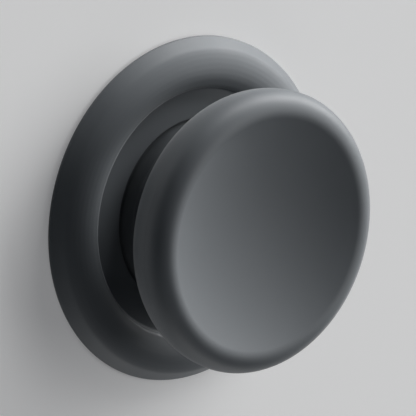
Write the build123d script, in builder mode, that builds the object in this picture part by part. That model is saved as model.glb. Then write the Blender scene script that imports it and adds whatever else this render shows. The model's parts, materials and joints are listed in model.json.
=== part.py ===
from build123d import *
from math import asin, atan, degrees, sin, sqrt
import os

os.makedirs("parts", exist_ok=True)

# Collapsible grip: a magnetic base ring, an accordion bellows and a dished cap.
# The mounting face lies on Z = 0, the axis of the grip is Z, and the cap is drawn out.
# All sizes are in millimetres.

# Magnets, which set the width of the base ring
MAGNET_RING_DIAMETER = 54.0  # outside of the ring of magnets
MAGNET_WIDTH = 4.5  # across one arc magnet
MAGNET_COUNT = 16
MAGNET_THICKNESS = 1.0
MAGNET_SINK = 0.4  # depth of the channel in the plate
RIB_WIDTH = 0.7  # ribs that keep the magnets apart
SHUNT_THICKNESS = 0.4

# Base ring
RIM_ROOF = 1.1  # top of the magnets' space up to the rim of the well
WELL_WALL = 0.9  # wall between the well and the magnets
WELL_FLOOR_WIDTH = 5.2  # floor from the wall of the well to its middle hole
WELL_FLOOR_THICKNESS = 0.5  # the floor clamps the flange of the bellows
WELL_FLOOR_ROUND = 0.4  # rounding between the wall and the floor of the well
RIM_ROUND = 0.4  # rounding of the rim over the well
DOME_RISE = 0.85  # bulge of the face between its rim and its shoulder
SHOULDER_DROP = 0.65  # rim down to the shoulder
SHOULDER_ROUND = 1.0  # rounding between the face and the bevel
BEVEL_WIDTH = 1.7  # shoulder out to the upright edge
FOOT_EDGE = 0.5  # height of the upright edge under the bevel
EDGE_ROUND = 0.4  # rounding between the bevel and the upright edge
FOOT_ROUND = 0.15  # rounding under the upright edge
SKIRT_WALL = 2.0  # outer wall beside the plate
PLATE_SEAT = 0.9  # width of the step that the plate seats against

# Cap
FINGER_GAP = 9.8  # rim of the well to the underside of the cap
CAP_DIAMETER = 48.8  # widest part of the cap
CAP_WALL = 1.8
CAP_UPPER = 3.4  # radius of the rounded edge above the widest part, and its height
CAP_LOWER = 5.5  # underside to the widest part
FLANK_RADIUS = 8.0  # curve of the flank that tucks in below the widest part
CAP_BACK_ROUND = 0.4  # rounding of the back edge
CAP_BACK_THICKNESS = 1.6
DISH_DEPTH = 3.4  # ridge to the middle of the dish
RABBET_WIDTH = 1.0  # wall of the upper half outside the tongue of the lower half
RABBET_HEIGHT = 1.0

# Friction pad and base plate
PAD_THICKNESS = 0.6
PAD_PROUD = 0.3  # the pad stands this far below the plate
PAD_MARGIN = 0.7  # edge of the pad to the edge of the plate
PAD_EDGE = 0.15  # chamfer round the pad's outer face
PLATE_THICKNESS = 1.0

# Bellows
FOLD_STAGES = 3  # rings, each narrower than the one below
RING_STEP = 2.4  # each ring's radius is this much less
RING_WALL = 1.0
WEB_WALL = 0.6  # thin webs that fold
WEB_RISE = 1.1  # rise of one web, drawn out
RING_LEAN = 0.5  # each ring leans in by this much
FLANGE_INSET = 1.05  # edge of the flange to the wall of the well
FLANGE_THICKNESS = 0.5
BEAD_WIDTH = 1.0  # bead along the edge of the flange
BEAD_DEPTH = 0.3  # the bead goes this far into the plate
LIP_THICKNESS = 0.9  # lip at the top, clamped by the hub

# Hub
HUB_FLANGE_THICKNESS = 1.3
LIP_GRIP = 2.4  # width of the flange that holds the lip
SLEEVE_WALL = 1.3  # sleeve that goes through the lip
HOOK_REACH = 0.6  # the hooks stand out from the sleeve by this much
HOOK_HEIGHT = 0.7
HUB_LEGS = 4
LEG_SLOT = 1.6  # gap between two legs

# Clearances
SEAT_CLEARANCE = 0.1  # round the plate, the pad, the magnets, the tongue and the sleeve
BELLOWS_CLEARANCE = 0.5  # lowest ring to the edge of the floor of the well
BEAD_CLEARANCE = 0.1
HUB_CLEARANCE = 0.4  # flange of the hub to the topmost ring
SNAP_CLEARANCE = 0.05  # hooks to the face they hold

# Heights above the mounting face
shell_bottom = PAD_PROUD
plate_top = shell_bottom + PLATE_THICKNESS
magnet_bottom = plate_top - MAGNET_SINK
magnet_top = magnet_bottom + MAGNET_THICKNESS
shunt_top = magnet_top + SHUNT_THICKNESS
cavity_top = shunt_top + SEAT_CLEARANCE
flange_top = plate_top + FLANGE_THICKNESS
well_floor = flange_top + WELL_FLOOR_THICKNESS
rim_height = cavity_top + RIM_ROOF
shoulder_height = rim_height - SHOULDER_DROP
edge_top = shell_bottom + FOOT_EDGE
cap_under = rim_height + FINGER_GAP
cap_back_top = cap_under + CAP_BACK_THICKNESS
seam_height = cap_under + CAP_LOWER
cap_top = seam_height + CAP_UPPER
lip_bottom = cap_under - LIP_THICKNESS
hub_bottom = lip_bottom - HUB_FLANGE_THICKNESS
hook_bottom = cap_back_top + SNAP_CLEARANCE
hook_top = hook_bottom + HOOK_HEIGHT

# Radii
magnet_outer = MAGNET_RING_DIAMETER / 2
magnet_inner = magnet_outer - MAGNET_WIDTH
cavity_outer = magnet_outer + SEAT_CLEARANCE
cavity_inner = magnet_inner - SEAT_CLEARANCE
channel_middle = (magnet_inner + magnet_outer) / 2
plate_bore = cavity_outer + PLATE_SEAT
plate_radius = plate_bore - SEAT_CLEARANCE
pad_radius = plate_radius - PAD_MARGIN
base_radius = plate_bore + SKIRT_WALL
shoulder_radius = base_radius - BEVEL_WIDTH
well_radius = cavity_inner - WELL_WALL
floor_bore = well_radius - WELL_FLOOR_WIDTH
flange_radius = well_radius - FLANGE_INSET
flange_pocket = flange_radius + BEAD_CLEARANCE
bead_inner = flange_radius - BEAD_WIDTH
root_radius = floor_bore - BELLOWS_CLEARANCE
neck_radius = root_radius - (FOLD_STAGES - 1) * RING_STEP
neck_bore = neck_radius - RING_LEAN - RING_WALL
hub_flange_radius = neck_bore - HUB_CLEARANCE
sleeve_radius = hub_flange_radius - LIP_GRIP
sleeve_bore = sleeve_radius - SLEEVE_WALL
sleeve_hole = sleeve_radius + SEAT_CLEARANCE
cap_radius = CAP_DIAMETER / 2
ridge_radius = cap_radius - CAP_UPPER
flank_middle = cap_radius - FLANK_RADIUS
back_edge_radius = flank_middle + sqrt(FLANK_RADIUS**2 - CAP_LOWER**2)
rabbet_radius = cap_radius - RABBET_WIDTH
tongue_radius = rabbet_radius - SEAT_CLEARANCE
cap_bore = cap_radius - CAP_WALL


# Silicone disc bonded into a shallow recess under the plate
with BuildPart() as friction_pad:
    with BuildSketch():
        Circle(pad_radius)
    extrude(amount=PAD_THICKNESS)
    chamfer(friction_pad.edges().group_by(Axis.Z)[0], PAD_EDGE)

# Moulded plate welded into the base ring from behind
with BuildPart() as base_plate:
    with BuildSketch(Plane.XY.offset(shell_bottom)):
        Circle(plate_radius)
    extrude(amount=PLATE_THICKNESS)
    with BuildSketch(Plane.XY.offset(shell_bottom)):
        Circle(pad_radius + SEAT_CLEARANCE)
    extrude(amount=PAD_THICKNESS - PAD_PROUD, mode=Mode.SUBTRACT)
    with BuildSketch(Plane.XY.offset(plate_top)):
        Circle(cavity_outer)
        Circle(cavity_inner, mode=Mode.SUBTRACT)
    extrude(amount=-MAGNET_SINK, mode=Mode.SUBTRACT)
    with BuildSketch(Plane.XY.offset(plate_top)):
        Circle(flange_pocket)
        Circle(bead_inner - BEAD_CLEARANCE, mode=Mode.SUBTRACT)
    extrude(amount=-BEAD_DEPTH - BEAD_CLEARANCE, mode=Mode.SUBTRACT)
    with BuildSketch(Plane.XY.offset(magnet_bottom)):
        with PolarLocations(channel_middle, MAGNET_COUNT):
            Rectangle(MAGNET_WIDTH, RIB_WIDTH)
    extrude(amount=MAGNET_THICKNESS)

# Arc magnets, one between each two ribs
with BuildPart() as magnet_array:
    with BuildSketch(Plane.XY.offset(magnet_bottom)):
        Circle(magnet_outer)
        Circle(magnet_inner, mode=Mode.SUBTRACT)
        with PolarLocations(channel_middle, MAGNET_COUNT):
            Rectangle(2 * MAGNET_WIDTH, RIB_WIDTH + 2 * SEAT_CLEARANCE, mode=Mode.SUBTRACT)
    extrude(amount=MAGNET_THICKNESS)

# Flat steel ring that lies on the magnets and the ribs
with BuildPart() as shunt_ring:
    with BuildSketch(Plane.XY.offset(magnet_top)):
        Circle(magnet_outer)
        Circle(magnet_inner, mode=Mode.SUBTRACT)
    extrude(amount=SHUNT_THICKNESS)

# Domed ring with the well; the floor of the well clamps the flange of the bellows
with BuildPart() as base_shell:
    with BuildSketch(Plane.XZ) as ring_section:
        with BuildLine():
            SagittaArc((well_radius, rim_height), (shoulder_radius, shoulder_height), DOME_RISE)
            Polyline(
                (shoulder_radius, shoulder_height),
                (base_radius, edge_top),
                (base_radius, shell_bottom),
                (plate_bore, shell_bottom),
                (plate_bore, plate_top),
                (cavity_outer, plate_top),
                (cavity_outer, cavity_top),
                (cavity_inner, cavity_top),
                (cavity_inner, plate_top),
                (flange_pocket, plate_top),
                (flange_pocket, flange_top),
                (floor_bore, flange_top),
                (floor_bore, well_floor),
                (well_radius, well_floor),
                (well_radius, rim_height),
            )
        make_face()
        for corner, radius in (
            ((well_radius, rim_height), RIM_ROUND),
            ((well_radius, well_floor), WELL_FLOOR_ROUND),
            ((shoulder_radius, shoulder_height), SHOULDER_ROUND),
            ((base_radius, shell_bottom), FOOT_ROUND),
            ((base_radius, edge_top), EDGE_ROUND),
        ):
            fillet(ring_section.vertices().sort_by_distance(corner)[0], radius)
    revolve(axis=Axis.Z)

# Accordion of stiff rings and thin webs, with a beaded flange below and a lip above
with BuildPart() as bellows:
    fold_bottom = plate_top + RING_WALL / 2
    fold_top = cap_under - RING_WALL / 2
    ring_rise = (fold_top - fold_bottom - (FOLD_STAGES - 1) * WEB_RISE) / FOLD_STAGES
    feet = []
    heads = []
    for stage in range(FOLD_STAGES):
        foot_radius = root_radius - RING_WALL / 2 - stage * RING_STEP
        foot_height = fold_bottom + stage * (ring_rise + WEB_RISE)
        feet.append(Vector(foot_radius, foot_height))
        heads.append(Vector(foot_radius - RING_LEAN, foot_height + ring_rise))
    with BuildSketch(Plane.XZ):
        for foot, head in zip(feet, heads):
            SlotCenterPoint((foot + head) / 2, head, RING_WALL)
        for head, foot in zip(heads, feet[1:]):
            SlotCenterPoint((head + foot) / 2, foot, WEB_WALL)
        with BuildLine():
            Polyline(
                (feet[0].X, plate_top),
                (bead_inner, plate_top),
                (bead_inner, plate_top - BEAD_DEPTH),
                (flange_radius, plate_top - BEAD_DEPTH),
                (flange_radius, flange_top),
                (feet[0].X, flange_top),
                close=True,
            )
        make_face()
        with BuildLine():
            Polyline(
                (sleeve_hole, lip_bottom),
                (heads[-1].X, lip_bottom),
                (heads[-1].X, cap_under),
                (sleeve_hole, cap_under),
                close=True,
            )
        make_face()
    revolve(axis=Axis.Z)

# Spool that clamps the lip of the bellows; its hooked legs snap over the back plate of the cap
with BuildPart() as neck_hub:
    with BuildSketch(Plane.XZ) as hub_section:
        with BuildLine():
            Polyline(
                (sleeve_bore, hub_bottom),
                (hub_flange_radius, hub_bottom),
                (hub_flange_radius, lip_bottom),
                (sleeve_radius, lip_bottom),
                (sleeve_radius, hook_bottom),
                (sleeve_radius + HOOK_REACH, hook_bottom),
                (sleeve_radius, hook_top),
                (sleeve_bore, hook_top),
                close=True,
            )
        make_face()
    revolve(axis=Axis.Z)
    with BuildSketch(Plane.XY.offset(cap_under)):
        with PolarLocations((sleeve_bore + sleeve_radius) / 2, HUB_LEGS):
            Rectangle(SLEEVE_WALL + 4 * HOOK_REACH, LEG_SLOT)
    extrude(amount=hook_top - cap_under, mode=Mode.SUBTRACT)

# Lower half of the cap: flat back with the hole for the hub, tucked-in flank, tongue round its rim
with BuildPart() as cap_back:
    flank_sweep = degrees(asin(CAP_LOWER / FLANK_RADIUS))
    bore_flank = FLANK_RADIUS - CAP_WALL
    bore_sweep = degrees(asin((CAP_LOWER - CAP_BACK_THICKNESS) / bore_flank))
    with BuildSketch(Plane.XZ) as back_section:
        with BuildLine():
            flank = CenterArc((flank_middle, seam_height), FLANK_RADIUS, -flank_sweep, flank_sweep)
            bore = CenterArc((flank_middle, seam_height), bore_flank, -bore_sweep, bore_sweep)
            Polyline(
                flank @ 1,
                (tongue_radius, seam_height),
                (tongue_radius, seam_height + RABBET_HEIGHT - SEAT_CLEARANCE),
                (cap_bore, seam_height + RABBET_HEIGHT - SEAT_CLEARANCE),
                bore @ 1,
            )
            Polyline(bore @ 0, (sleeve_hole, cap_back_top), (sleeve_hole, cap_under), flank @ 0)
        make_face()
        fillet(back_section.vertices().sort_by_distance((back_edge_radius, cap_under))[0], CAP_BACK_ROUND)
    revolve(axis=Axis.Z)

# Upper half of the cap: a rounded edge that runs on smoothly into the dish, welded over the tongue
with BuildPart() as cap_shell:
    dish_tilt = 2 * atan(DISH_DEPTH / ridge_radius)
    dish_radius = ridge_radius / sin(dish_tilt) - CAP_UPPER
    dish_height = cap_top - DISH_DEPTH + dish_radius
    dish_sweep = degrees(dish_tilt)
    inner_round = CAP_UPPER - CAP_WALL
    inner_start = degrees(asin(RABBET_HEIGHT / inner_round))
    inner_sweep = 90 + dish_sweep - inner_start
    with BuildSketch(Plane.XZ):
        with BuildLine():
            outside = CenterArc((ridge_radius, seam_height), CAP_UPPER, 0, 90 + dish_sweep)
            dish = CenterArc((0, dish_height), dish_radius, -90, dish_sweep)
            ceiling = CenterArc((0, dish_height), dish_radius + CAP_WALL, -90, dish_sweep)
            inside = CenterArc((ridge_radius, seam_height), inner_round, inner_start, inner_sweep)
            Line(dish @ 0, ceiling @ 0)
            Polyline(
                inside @ 0,
                (rabbet_radius, seam_height + RABBET_HEIGHT),
                (rabbet_radius, seam_height),
                outside @ 0,
            )
        make_face()
    revolve(axis=Axis.Z)

friction_pad.part.label = "friction_pad"
export_step(friction_pad.part, "parts/friction_pad.step")
base_plate.part.label = "base_plate"
export_step(base_plate.part, "parts/base_plate.step")
magnet_array.part.label = "magnet_array"
export_step(magnet_array.part, "parts/magnet_array.step")
shunt_ring.part.label = "shunt_ring"
export_step(shunt_ring.part, "parts/shunt_ring.step")
base_shell.part.label = "base_shell"
export_step(base_shell.part, "parts/base_shell.step")
bellows.part.label = "bellows"
export_step(bellows.part, "parts/bellows.step")
neck_hub.part.label = "neck_hub"
export_step(neck_hub.part, "parts/neck_hub.step")
cap_back.part.label = "cap_back"
export_step(cap_back.part, "parts/cap_back.step")
cap_shell.part.label = "cap_shell"
export_step(cap_shell.part, "parts/cap_shell.step")
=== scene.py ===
import json
import bpy
import numpy as np
from mathutils import Matrix, Vector


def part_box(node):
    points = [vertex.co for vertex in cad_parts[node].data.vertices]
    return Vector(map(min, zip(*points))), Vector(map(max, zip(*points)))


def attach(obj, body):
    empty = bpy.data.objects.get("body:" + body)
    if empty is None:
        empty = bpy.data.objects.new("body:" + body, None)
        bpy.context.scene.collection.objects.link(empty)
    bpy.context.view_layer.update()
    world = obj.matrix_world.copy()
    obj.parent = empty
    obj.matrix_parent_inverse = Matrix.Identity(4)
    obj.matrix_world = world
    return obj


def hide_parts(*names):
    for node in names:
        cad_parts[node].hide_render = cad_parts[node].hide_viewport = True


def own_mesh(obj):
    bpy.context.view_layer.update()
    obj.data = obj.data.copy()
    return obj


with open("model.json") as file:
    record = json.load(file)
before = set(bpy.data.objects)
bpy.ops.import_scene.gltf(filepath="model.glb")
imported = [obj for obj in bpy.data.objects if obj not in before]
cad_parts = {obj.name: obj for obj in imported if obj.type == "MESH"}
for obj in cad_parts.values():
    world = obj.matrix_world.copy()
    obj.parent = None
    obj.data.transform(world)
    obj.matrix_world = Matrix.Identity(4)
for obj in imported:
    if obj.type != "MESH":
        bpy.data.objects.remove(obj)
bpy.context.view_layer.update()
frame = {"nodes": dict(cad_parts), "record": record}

# Friction pad: a thin disc of dark silicone, die cut with a slightly broken edge.
# It is bonded into a recess in the back of the base and stands a little proud of it.
# Sizes, here and below, are in millimetres, and a point of an outline is its radius and its height.
MM = 0.001
SPOKES = 288


class Field:
    """A shader socket that takes part in arithmetic: each operator adds one Math node to the tree."""

    def __init__(self, tree, socket=None):
        self.tree = tree
        self.socket = socket

    def node(self, kind, settings, inputs, output=0):
        """Add a node of this kind, apply its settings, then set or link its sockets by name or number."""
        made = self.tree.nodes.new(kind)
        for key, value in settings.items():
            setattr(made, key, value)
        for key, value in inputs.items():
            if isinstance(value, Field):
                self.tree.links.new(value.socket, made.inputs[key])
            else:
                made.inputs[key].default_value = value
        return Field(self.tree, made.outputs[output] if made.outputs else None)

    def maths(self, operation, *values):
        """Add a Math node with this operation on fields or numbers."""
        return self.node("ShaderNodeMath", {"operation": operation}, dict(enumerate(values)))

    def __add__(self, other):
        return self.maths("ADD", self, other)

    __radd__ = __add__

    def __sub__(self, other):
        return self.maths("SUBTRACT", self, other)

    def __rsub__(self, other):
        return self.maths("SUBTRACT", other, self)

    def __mul__(self, other):
        return self.maths("MULTIPLY", self, other)

    __rmul__ = __mul__

    def step(self, low, high):
        """Rise smoothly from 0 to 1 while this field goes from low to high."""
        settings = {"interpolation_type": "SMOOTHSTEP"}
        return self.node("ShaderNodeMapRange", settings, {"Value": self, "From Min": low, "From Max": high})

    def noise(self, grain, detail=2.0, stretch=(1.0, 1.0, 1.0)):
        """Noise over the object's own coordinates, with lumps about one grain (in millimetres) across."""
        place = self.node("ShaderNodeTexCoord", {}, {}, "Object")
        place = self.node("ShaderNodeMapping", {}, {"Vector": place, "Scale": stretch})
        lumps = {"Vector": place, "Scale": 1 / (grain * MM), "Detail": detail}
        return self.node("ShaderNodeTexNoise", {}, lumps)

    def bump(self, strength, depth):
        """Normal of a surface that this field raises by up to the depth (in millimetres)."""
        relief = {"Strength": strength, "Distance": depth * MM, "Height": self}
        return self.node("ShaderNodeBump", {}, relief)

    def mix(self, low, high):
        """Go from colour low to colour high as this field goes from 0 to 1.

        The colour sockets share their names with the node's other sockets, so they go by number.
        """
        colours = {0: self, 6: (*low, 1.0), 7: (*high, 1.0)}
        return self.node("ShaderNodeMix", {"data_type": "RGBA"}, colours, 2)


def new_material(name):
    """Return an empty material and a field that starts its node tree."""
    material = bpy.data.materials.new(name)
    material.use_nodes = True
    material.node_tree.nodes.clear()
    return material, Field(material.node_tree)


def close_material(field, shader_inputs):
    """Feed the inputs to one Principled shader and the shader to the output."""
    shader = field.node("ShaderNodeBsdfPrincipled", {}, shader_inputs)
    field.node("ShaderNodeOutputMaterial", {}, {"Surface": shader})


def reach(node):
    """Outer radius, lowest and highest point of a round node, in millimetres."""
    low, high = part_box(node)
    return high.x / MM, low.z / MM, high.z / MM


def rounded(corners, count=10):
    """Closed outline through corners given as rows of radius, height and rounding.

    Each corner becomes an arc that touches the two straight runs beside it. It starts at the corner less
    rounding times the tangent of half the turn, and its points are
    start + rounding (a sin t + n (1 - cos t)), with a the incoming direction, n the side it turns to and t
    from 0 to the turn.
    """
    corners = np.asarray(corners, float)
    place, rounding = corners[:, :2], corners[:, 2]
    ahead = np.roll(place, -1, axis=0) - place
    ahead = ahead / np.linalg.norm(ahead, axis=1, keepdims=True)
    behind = np.roll(ahead, 1, axis=0)
    cross = behind[:, 0] * ahead[:, 1] - behind[:, 1] * ahead[:, 0]
    turn = np.arctan2(cross, (behind * ahead).sum(axis=1))
    side = np.sign(turn)[:, None] * np.stack([-behind[:, 1], behind[:, 0]], axis=1)
    start = place - behind * (rounding * np.tan(np.abs(turn) / 2))[:, None]
    along = np.abs(turn)[:, None] * np.linspace(0, 1, count)
    width = rounding[:, None, None]
    points = (
        start[:, None]
        + width * np.sin(along)[..., None] * behind[:, None]
        + width * (1 - np.cos(along))[..., None] * side[:, None]
    )
    return points.reshape(-1, 2)


def spaced(outline, step):
    """Points of an outline, each once, with more between them so that none are over one step apart."""
    length = np.r_[0, np.cumsum(np.linalg.norm(np.diff(outline, axis=0), axis=1))]
    stations = np.union1d(length, np.arange(0, length[-1], step))
    closest = step / 100
    stations = stations[np.r_[True, np.diff(stations) > closest]]
    return np.stack([np.interp(stations, length, outline[:, k]) for k in (0, 1)], axis=1)


def turned(name, corners, step, spokes=SPOKES):
    """Piece swept by a rounded outline, in millimetres, once about the Z axis.

    The outline's points are at most one step apart.
    Point (i, j) is (r_i cos a_j, r_i sin a_j, z_i), with a_j in equal steps round the circle. An outline
    that starts and ends on the axis closes there in a point at each end, and any other closes on itself.
    """
    outline = spaced(rounded(corners), step)
    poled = bool(np.isclose(outline[0, 0], 0))
    rows = outline[1:-1] if poled else outline
    angle = np.linspace(0, 2 * np.pi, spokes, endpoint=False)
    around = np.stack([np.cos(angle), np.sin(angle)], axis=1)
    level = np.repeat(rows[:, 1], spokes)
    points = np.column_stack([(rows[:, :1, None] * around).reshape(-1, 2), level])
    column = np.arange(spokes)
    row = np.arange(len(rows) - poled)[:, None] * spokes
    above = (row + spokes) % (len(rows) * spokes)
    beside = np.roll(column, -1)
    quads = np.stack([row + column, row + beside, above + beside, above + column], axis=-1)
    faces = quads.reshape(-1, 4).tolist()
    if poled:
        points = np.vstack([points, [0, 0, outline[0, 1]], [0, 0, outline[-1, 1]]])
        first, last = len(points) - 2, len(points) - 1
        top = (len(rows) - 1) * spokes
        faces += np.column_stack([np.full(spokes, first), beside, column]).tolist()
        faces += np.column_stack([np.full(spokes, last), top + column, top + beside]).tolist()
    mesh = bpy.data.meshes.new(name)
    mesh.from_pydata((points * MM).tolist(), [], faces)
    mesh.shade_smooth()
    piece = bpy.data.objects.new(name, mesh)
    bpy.context.collection.objects.link(piece)
    return piece


PAD_EDGE = 0.15
PAD_MESH = 1.2
SILICONE = (0.043, 0.046, 0.049)
SMEARED_SILICONE = (0.054, 0.057, 0.061)
pad_radius, pad_face, pad_top = reach("friction_pad")
pad = turned(
    "pad_disc",
    [
        (0.0, pad_face, 0.0),
        (pad_radius, pad_face, PAD_EDGE),
        (pad_radius, pad_top, PAD_EDGE / 2),
        (0.0, pad_top, 0.0),
    ],
    PAD_MESH,
)
silicone, field = new_material("dark_silicone")
skin = field.noise(0.35, 3.0)
smear = field.noise(9.0, 3.0).step(0.35, 0.7)
close_material(
    field,
    {
        "Base Color": smear.mix(SILICONE, SMEARED_SILICONE),
        "Roughness": 0.52 + 0.16 * smear,
        "Normal": skin.bump(0.25, 0.03),
    },
)
pad.data.materials.append(silicone)
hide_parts("friction_pad")
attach(pad, "base")

# Base plate: a moulded plate that closes the base from behind and carries the magnets in a channel.
# Only a narrow ring of it shows round the pad. It is welded into the shell.
BLACK = (0.034, 0.036, 0.039)
FLOWED_BLACK = (0.044, 0.046, 0.049)
moulded, field = new_material("black_moulding")
flow = field.noise(4.0, 4.0).step(0.3, 0.75)
spark = field.noise(0.25)
close_material(
    field,
    {
        "Base Color": flow.mix(BLACK, FLOWED_BLACK),
        "Roughness": 0.42 + 0.14 * flow,
        "Normal": spark.bump(0.2, 0.02),
    },
)


def dress(node, material):
    """Give a node that keeps its own shape this material and no other."""
    slots = frame["nodes"][node].data.materials
    slots.clear()
    slots.append(material)


dress("base_plate", moulded)

# Magnets and shunt: nickel-plated arc magnets in the plate's channel, under a flat ring of sheet steel.
# Both are sealed in under the shell.
STREAKED = (1.0, 0.12, 1.0)
for node, name, dull, bright in (
    ("magnet_array", "nickel_plate", (0.52, 0.51, 0.48), (0.64, 0.63, 0.6)),
    ("shunt_ring", "rolled_steel", (0.4, 0.4, 0.41), (0.54, 0.54, 0.55)),
):
    metal, field = new_material(name)
    streak = field.noise(1.2, 4.0, STREAKED).step(0.3, 0.7)
    close_material(
        field,
        {
            "Base Color": streak.mix(dull, bright),
            "Roughness": 0.24 + 0.14 * streak,
            "Metallic": 1.0,
        },
    )
    dress(node, metal)

# Base shell: the wide domed ring round the well, moulded in one piece with a soft-touch slate coat.
# The floor of its well clamps the bellows, and its bevelled skirt hides the plate.
BREAK = 0.1
SOFTEN = 0.6
SEAT_GAP = 0.1
FOOT_ROUND = 0.15
EDGE_TOP = 0.8
EDGE_TOP_ROUND = 0.4
SHOULDER = (28.3, 2.85)
SHOULDER_ROUND = 2.2
DOME_RISE = 0.85
DOME_POINTS = 9
RIM = (21.5, 3.5)
RIM_ROUND = 1.0
WELL_FLOOR = 2.3
WELL_ROUND = 0.4
FLOOR_BORE = 16.3
FLANGE_TOP = 1.8
PLATE_TOP = 1.3
MAGNET_WIDTH = 4.5
SHELL_MESH = 0.4
SLATE = (0.125, 0.139, 0.152)
HANDLED_SLATE = (0.132, 0.147, 0.16)


def slate_coat(name, rub_low, rub_high):
    """Slate soft-touch coat, fine grained with a soft sheen, rubbed smoother from one height to another."""
    material, field = new_material(name)
    place = field.node("ShaderNodeTexCoord", {}, {}, "Object")
    height = field.node("ShaderNodeSeparateXYZ", {}, {"Vector": place}, "Z")
    rubbed = height.step(rub_low * MM, rub_high * MM)
    grain = field.noise(0.22)
    handled = field.noise(11.0, 4.0).step(0.32, 0.72)
    close_material(
        field,
        {
            "Base Color": handled.mix(SLATE, HANDLED_SLATE),
            "Roughness": 0.56 + 0.06 * handled - 0.05 * rubbed,
            "Specular IOR Level": 0.65,
            "Sheen Weight": 0.26,
            "Sheen Roughness": 0.4,
            "Normal": grain.bump(0.2, 0.02),
        },
    )
    return material


def bulge(start, stop, rise, count):
    """Corners between two points, on the arc that stands out to the right by the rise.

    With c the chord, the half angle is a = 2 atan(2 rise / c) and the radius R = c / (2 sin a); point t is
    the middle of the chord + R sin t along it + R (cos t - cos a) to its right, with t from -a to a. Each
    corner is rounded by SOFTEN R, which smooths the arc.
    """
    start, stop = np.asarray(start), np.asarray(stop)
    chord = np.linalg.norm(stop - start)
    along = (stop - start) / chord
    right = np.array([along[1], -along[0]])
    half = 2 * np.arctan(2 * rise / chord)
    radius = chord / (2 * np.sin(half))
    angle = np.linspace(-half, half, count)[1:-1, None]
    points = (start + stop) / 2 + radius * (np.sin(angle) * along + (np.cos(angle) - np.cos(half)) * right)
    return np.column_stack([points, np.full(len(points), SOFTEN * radius)])


base_radius, foot, crest = reach("base_shell")
shunt_radius, _, shunt_top = reach("shunt_ring")
space_outer = shunt_radius + SEAT_GAP
space_inner = shunt_radius - MAGNET_WIDTH - SEAT_GAP
space_top = shunt_top + SEAT_GAP
plate_bore = reach("base_plate")[0] + SEAT_GAP
flange_pocket = reach("bellows")[0] + SEAT_GAP
ring = turned(
    "ring_shell",
    np.vstack(
        [
            (plate_bore, foot, BREAK),
            (base_radius, foot, FOOT_ROUND),
            (base_radius, EDGE_TOP, EDGE_TOP_ROUND),
            (*SHOULDER, SHOULDER_ROUND),
            # The last point of the dome is left out, so that the rounding of the rim has room.
            bulge(SHOULDER, RIM, DOME_RISE, DOME_POINTS)[:-1],
            (*RIM, RIM_ROUND),
            (RIM[0], WELL_FLOOR, WELL_ROUND),
            (FLOOR_BORE, WELL_FLOOR, BREAK),
            (FLOOR_BORE, FLANGE_TOP, BREAK),
            (flange_pocket, FLANGE_TOP, BREAK),
            (flange_pocket, PLATE_TOP, BREAK),
            (space_inner, PLATE_TOP, BREAK),
            (space_inner, space_top, BREAK),
            (space_outer, space_top, BREAK),
            (space_outer, PLATE_TOP, BREAK),
            (plate_bore, PLATE_TOP, BREAK),
        ]
    ),
    SHELL_MESH,
)
ring.data.materials.append(slate_coat("slate_ring", RIM[1], crest))
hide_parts("base_shell")
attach(ring, "base")

# Bellows: one moulded elastomer accordion, stiff rings joined by thin webs that fold.
# A beaded flange below is clamped under the floor of the well and a lip above is clamped to the cap.
STAGES = 3
ROOT_RADIUS = 15.8
RING_STEP = 2.4
RING_LEAN = 0.5
RING_WALL = 1.0
WEB_WALL = 0.6
WEB_RISE = 1.1
FLANGE_WALL = 0.5
BEAD_WIDTH = 1.0
LIP_WALL = 0.9
LIP_BORE = 6.8
FOLD_ROUND = 0.4
BELLOWS_MESH = 0.3
BELLOWS_SPOKES = 240
ELASTOMER = (0.07, 0.077, 0.083)
SWIRLED_ELASTOMER = (0.082, 0.09, 0.097)
FLATTENED = (1.0, 1.0, 3.0)
elastomer, field = new_material("slate_elastomer")
swirl = field.noise(3.0, 3.0, FLATTENED).step(0.3, 0.72)
pores = field.noise(0.3)
close_material(
    field,
    {
        "Base Color": swirl.mix(ELASTOMER, SWIRLED_ELASTOMER),
        "Roughness": 0.42 + 0.12 * swirl,
        "Normal": pores.bump(0.2, 0.02),
    },
)


def folded_wall(line, walls):
    """Corners of the outline round a folded line, one side out and the other side back.

    Each straight run has its own wall w. Moved to the side s it is the line p . n = q . n + s w, with n its
    normal, q its start and s a half either way, and a corner is the point where two neighbouring runs, so
    moved, meet.
    """
    along = np.diff(line, axis=0)
    along = along / np.linalg.norm(along, axis=1, keepdims=True)
    normal = np.stack([along[:, 1], -along[:, 0]], axis=1)
    sides = []
    for side in (0.5, -0.5):
        offset = (normal * line[:-1]).sum(axis=1) + side * walls
        pairs = np.stack([normal[:-1], normal[1:]], axis=1)
        bends = np.linalg.solve(pairs, np.stack([offset[:-1], offset[1:]], axis=1)[..., None])[..., 0]
        ends = line[[0, -1]] + side * walls[[0, -1], None] * normal[[0, -1]]
        sides.append(np.vstack([ends[:1], bends, ends[1:]]))
    return np.vstack([sides[0], sides[1][::-1]])


flange_radius, bead_face, cap_under = reach("bellows")
ring_rise = (cap_under - PLATE_TOP - RING_WALL - (STAGES - 1) * WEB_RISE) / STAGES
stage = np.arange(STAGES)[:, None]
first_foot = np.array([ROOT_RADIUS - RING_WALL / 2, PLATE_TOP + RING_WALL / 2])
ring_feet = first_foot + stage * [-RING_STEP, ring_rise + WEB_RISE]
folds = np.stack([ring_feet, ring_feet + [-RING_LEAN, ring_rise]], axis=1).reshape(-1, 2)
folds[0, 1] = PLATE_TOP + FLANGE_WALL / 2
folds[-1, 1] = cap_under - LIP_WALL / 2
fold_line = np.vstack([(flange_radius, folds[0, 1]), folds, (LIP_BORE, folds[-1, 1])])
fold_walls = np.r_[FLANGE_WALL, [RING_WALL, WEB_WALL] * (STAGES - 1), RING_WALL, LIP_WALL]
fold_corners = folded_wall(fold_line, fold_walls)[:-1]
bead = flange_radius - BEAD_WIDTH
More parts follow.
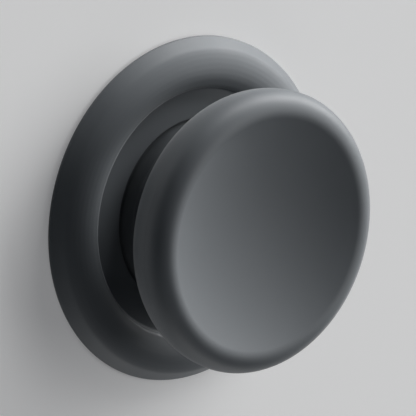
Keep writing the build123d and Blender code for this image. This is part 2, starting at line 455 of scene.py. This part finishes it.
bellows = turned(
    "accordion",
    np.vstack(
        [
            np.column_stack([fold_corners, np.full(len(fold_corners), FOLD_ROUND)]),
            (bead, PLATE_TOP, BREAK),
            (bead, bead_face, BREAK),
            (flange_radius, bead_face, BREAK),
        ]
    ),
    BELLOWS_MESH,
    BELLOWS_SPOKES,
)
bellows.data.materials.append(elastomer)
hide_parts("bellows")
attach(bellows, "base")
travel = -frame["record"]["behaviour"]["joints"][0]["range_m"][0] / MM
1 - travel / (cap_under - PLATE_TOP)
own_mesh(bellows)

# Lower half of the cap: a flat back and a flank that tucks in under the widest part, in the slate coat.
# The hub's hooks come up through its middle hole, and a tongue round its rim takes the upper half.
FLANK_RADIUS = 8.0
FLANK_POINTS = 9
CAP_WALL = 1.8
BACK_WALL = 1.6
BACK_ROUND = 0.85
BORE_POINTS = 14
TONGUE_RADIUS = 23.3
TONGUE_RISE = 0.9
SEAM_BREAK = 0.05
LOWER_MESH = 0.5
CAP_SPOKES = 320


def arc(middle, radius, start, stop, count):
    """Corners without rounding on a circle: middle + radius (cos t, sin t), with t from start to stop."""
    angle = np.linspace(start, stop, count)
    circle = np.column_stack([np.cos(angle), np.sin(angle), np.zeros(count)])
    return np.array([*middle, 0.0]) + radius * circle


cap_radius, _, tongue_top = reach("cap_back")
cap_top = reach("cap_shell")[2]
seam = tongue_top - TONGUE_RISE
flank_middle = (cap_radius - FLANK_RADIUS, seam)
bore_radius = FLANK_RADIUS - CAP_WALL
back_top = cap_under + BACK_WALL
flank_start = -np.arcsin((seam - cap_under) / FLANK_RADIUS)
bore_start = -np.arcsin((seam - back_top) / bore_radius)
flank = arc(flank_middle, FLANK_RADIUS, flank_start, 0.0, FLANK_POINTS)
flank[:, 2] = np.r_[BACK_ROUND, [SOFTEN * FLANK_RADIUS] * (FLANK_POINTS - 2), SEAM_BREAK]
lower_cap = turned(
    "lower_cap",
    np.vstack(
        [
            (LIP_BORE, cap_under, BREAK),
            flank,
            (TONGUE_RADIUS, seam, BREAK),
            (TONGUE_RADIUS, tongue_top, BREAK),
            (cap_radius - CAP_WALL, tongue_top, BREAK),
            arc(flank_middle, bore_radius, 0.0, bore_start, BORE_POINTS),
            (LIP_BORE, back_top, BREAK),
        ]
    ),
    LOWER_MESH,
    CAP_SPOKES,
)
lower_cap.data.materials.append(slate_coat("slate_flank", seam, cap_top))
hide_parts("cap_back")
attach(lower_cap, "cap")

# Neck hub: a spool in the same black moulding as the plate, hidden inside the neck.
# Its hooked legs snap over the back of the cap, and so clamp the lip of the bellows to it.
dress("neck_hub", moulded)

# Upper half of the cap: a rounded edge that runs on smoothly into a dish for the thumb, in the slate coat.
# It is welded over the tongue of the lower half, with a hairline seam round the widest part.
DISH_DEPTH = 3.4
DISH_POINTS = 48
EDGE_POINTS = 64
UNDERSIDE_POINTS = 24
INNER_POINTS = 12
UPPER_MESH = 0.6
rabbet_radius = TONGUE_RADIUS + SEAT_GAP
rabbet_rise = TONGUE_RISE + SEAT_GAP
edge_round = cap_top - seam
ridge = cap_radius - edge_round
dish_tilt = 2 * np.arctan(DISH_DEPTH / ridge)
dish_radius = ridge / np.sin(dish_tilt) - edge_round
dish_middle = (0.0, cap_top - DISH_DEPTH + dish_radius)
inner_round = edge_round - CAP_WALL
inner_stop = np.arcsin(rabbet_rise / inner_round)
quarter = np.pi / 2
upper_cap = turned(
    "dished_cap",
    np.vstack(
        [
            arc(dish_middle, dish_radius + CAP_WALL, -quarter, -quarter + dish_tilt, UNDERSIDE_POINTS),
            arc((ridge, seam), inner_round, quarter + dish_tilt, inner_stop, INNER_POINTS)[1:],
            (rabbet_radius, seam + rabbet_rise, BREAK),
            (rabbet_radius, seam, BREAK),
            (cap_radius, seam, SEAM_BREAK),
            arc((ridge, seam), edge_round, 0.0, quarter + dish_tilt, EDGE_POINTS)[1:],
            arc(dish_middle, dish_radius, -quarter + dish_tilt, -quarter, DISH_POINTS)[1:],
        ]
    ),
    UPPER_MESH,
    CAP_SPOKES,
)
upper_cap.data.materials.append(slate_coat("slate_cap", seam, cap_top))
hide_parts("cap_shell")
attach(upper_cap, "cap")

# Floor: a plain pale matt sheet just under the grip. Seen straight on, or mirrored in the coat of the grip,
# it is paler than the light that it throws back would make it.
FLOOR_SIDE = 3000 * MM
FLOOR_DROP = 0.1 * MM
FLOOR_LIT = (0.5, 0.5, 0.5)
FLOOR_SEEN = (0.81, 0.81, 0.805)
NO_GLOW = (0.0, 0.0, 0.0)
FLOOR_GLOW = (0.17, 0.17, 0.173)
floor_paint, field = new_material("pale_floor")
straight = field.node("ShaderNodeLightPath", {}, {}, "Is Camera Ray")
mirrored = field.node("ShaderNodeLightPath", {}, {}, "Is Glossy Ray")
seen = straight + mirrored
close_material(
    field,
    {
        "Base Color": seen.mix(FLOOR_LIT, FLOOR_SEEN),
        "Roughness": 0.9,
        "Specular IOR Level": 0.0,
        "Emission Color": seen.mix(NO_GLOW, FLOOR_GLOW),
        "Emission Strength": 1.0,
    },
)
square = np.array([(-1, -1), (1, -1), (1, 1), (-1, 1)]) * FLOOR_SIDE / 2
sheet = np.column_stack([square, np.full(len(square), -FLOOR_DROP)])
floor_mesh = bpy.data.meshes.new("floor")
floor_mesh.from_pydata(sheet.tolist(), [], [(0, 1, 2, 3)])
floor = bpy.data.objects.new("floor", floor_mesh)
floor.data.materials.append(floor_paint)
bpy.context.collection.objects.link(floor)

# Lights: low soft strips, a key and a side source up and to the right in the picture, weak ones from the
# right, from below and over the cap, and an even surround. Each row is a name, the way to the lamp, its
# breadth and its level, and at level 1 a white face turned to the lamp renders white.
LIGHTS = (
    ("key", (0.68, 0.7, 0.15), 1350, 1.38),
    ("side", (0.88, 0.45, 0.13), 1250, 0.62),
    ("right", (0.98, 0.0, 0.17), 900, 0.11),
    ("below", (0.0, -0.99, 0.12), 900, 0.16),
    ("over", (0.68, 0.06, 0.73), 1000, 0.24),
)
LAMP_DISTANCE = 2000 * MM
LIT_HEIGHT = 12 * MM
STRIP = 1.5
SURROUND = (0.047, 0.05, 0.054)
lit_middle = Vector((0, 0, LIT_HEIGHT))
for name, towards, breadth, level in LIGHTS:
    lamp = bpy.data.lights.new(name, "AREA")
    lamp.shape = "RECTANGLE"
    lamp.size = breadth * MM * STRIP
    lamp.size_y = breadth * MM / STRIP
    lamp.energy = level * (np.pi * LAMP_DISTANCE) ** 2
    light = bpy.data.objects.new(name, lamp)
    direction = Vector(towards).normalized()
    light.location = lit_middle + direction * LAMP_DISTANCE
    light.rotation_euler = direction.to_track_quat("Z", "Y").to_euler()
    bpy.context.collection.objects.link(light)
world = bpy.data.worlds.new("surround")
world.use_nodes = True
world.node_tree.nodes["Background"].inputs["Color"].default_value = (*SURROUND, 1.0)
bpy.context.scene.world = world

# Camera: looks at the front of the cap from the left and a little above, with Y up in the picture,
# so the axis of the grip points to the right.
AZIMUTH = np.radians(40.1)
ELEVATION = np.radians(15.9)
DISTANCE = 900 * MM
FRAME_WIDTH = 70.9 * MM
AIM_RIGHT = 3.98 * MM
AIM_UP = -0.02 * MM
back = Vector(
    (-np.cos(ELEVATION) * np.sin(AZIMUTH), np.sin(ELEVATION), np.cos(ELEVATION) * np.cos(AZIMUTH))
)
right = Vector((0, 1, 0)).cross(back).normalized()
up = back.cross(right)
lens = bpy.data.cameras.new("camera")
lens.lens = lens.sensor_width * DISTANCE / FRAME_WIDTH
camera = bpy.data.objects.new("camera", lens)
place = back * DISTANCE + right * AIM_RIGHT + up * AIM_UP
camera.matrix_world = Matrix.Translation(place) @ Matrix((right, up, back)).transposed().to_4x4()
bpy.context.collection.objects.link(camera)
bpy.context.scene.camera = camera
bpy.context.scene.view_settings.view_transform = "Standard"
